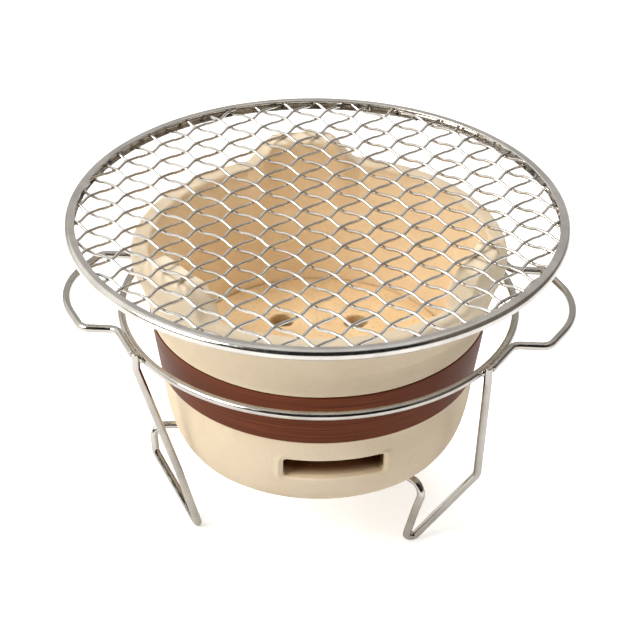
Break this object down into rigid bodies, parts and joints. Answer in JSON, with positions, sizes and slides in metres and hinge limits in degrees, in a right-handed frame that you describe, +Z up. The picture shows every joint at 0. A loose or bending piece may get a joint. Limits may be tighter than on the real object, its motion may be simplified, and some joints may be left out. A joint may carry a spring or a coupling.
{
  "type": "tabletop charcoal grill",
  "caption": "Round clay charcoal brazier with a lift-off wire net, carried in a bent-wire ring stand with loop handles and hairpin legs.",
  "frame": {"origin": "on the table, on the bowl's axis", "axes": "+Z up, +X along the line of the handles to the right one, -Y to the front with the air window"},
  "size_m": [0.251, 0.24, 0.1667],
  "materials": {
    "clay": "matte cream clay",
    "plate_clay": "matte fired clay",
    "band": "satin reddish-brown lacquer",
    "net_steel": "bright plated wire",
    "stand_steel": "bright plated wire"
  },
  "bodies": {
    "stand": {"stand_ring": "stand_steel", "left_handle": "stand_steel", "right_handle": "stand_steel", "left_leg": "stand_steel", "right_leg": "stand_steel", "rear_leg": "stand_steel"},
    "fire_bowl": {"bowl_base": "clay", "window_course": "clay", "plate_seat": "clay", "bowl_wall": "clay", "rear_lug": "clay", "left_lug": "clay", "right_lug": "clay", "brown_band": "band"},
    "plate": {"charcoal_plate": "plate_clay"},
    "cooking_net": {"net_rim": "net_steel", "net_wire_a_1": "net_steel", "net_wire_a_2": "net_steel", "net_wire_a_3": "net_steel", "net_wire_a_4": "net_steel", "net_wire_a_5": "net_steel", "net_wire_a_6": "net_steel", "net_wire_a_7": "net_steel", "net_wire_a_8": "net_steel", "net_wire_a_9": "net_steel", "net_wire_a_10": "net_steel", "net_wire_a_11": "net_steel", "net_wire_a_12": "net_steel", "net_wire_a_13": "net_steel", "net_wire_a_14": "net_steel", "net_wire_a_15": "net_steel", "net_wire_a_16": "net_steel", "net_wire_a_17": "net_steel", "net_wire_a_18": "net_steel", "net_wire_a_19": "net_steel", "net_wire_b_1": "net_steel", "net_wire_b_2": "net_steel", "net_wire_b_3": "net_steel", "net_wire_b_4": "net_steel", "net_wire_b_5": "net_steel", "net_wire_b_6": "net_steel", "net_wire_b_7": "net_steel", "net_wire_b_8": "net_steel", "net_wire_b_9": "net_steel", "net_wire_b_10": "net_steel", "net_wire_b_11": "net_steel", "net_wire_b_12": "net_steel", "net_wire_b_13": "net_steel", "net_wire_b_14": "net_steel", "net_wire_b_15": "net_steel", "net_wire_b_16": "net_steel", "net_wire_b_17": "net_steel", "net_wire_b_18": "net_steel", "net_wire_b_19": "net_steel"}
  },
  "joints": [
    {"name": "bowl_lift", "type": "slide", "parent": "stand", "child": "fire_bowl", "axis": [0, 0, 1], "range_m": [0, 0.15]},
    {"name": "plate_lift", "type": "slide", "parent": "fire_bowl", "child": "plate", "axis": [0, 0, 1], "range_m": [0, 0.06]},
    {"name": "net_lift", "type": "slide", "parent": "fire_bowl", "child": "cooking_net", "axis": [0, 0, 1], "range_m": [0, 0.1]}
  ]
}
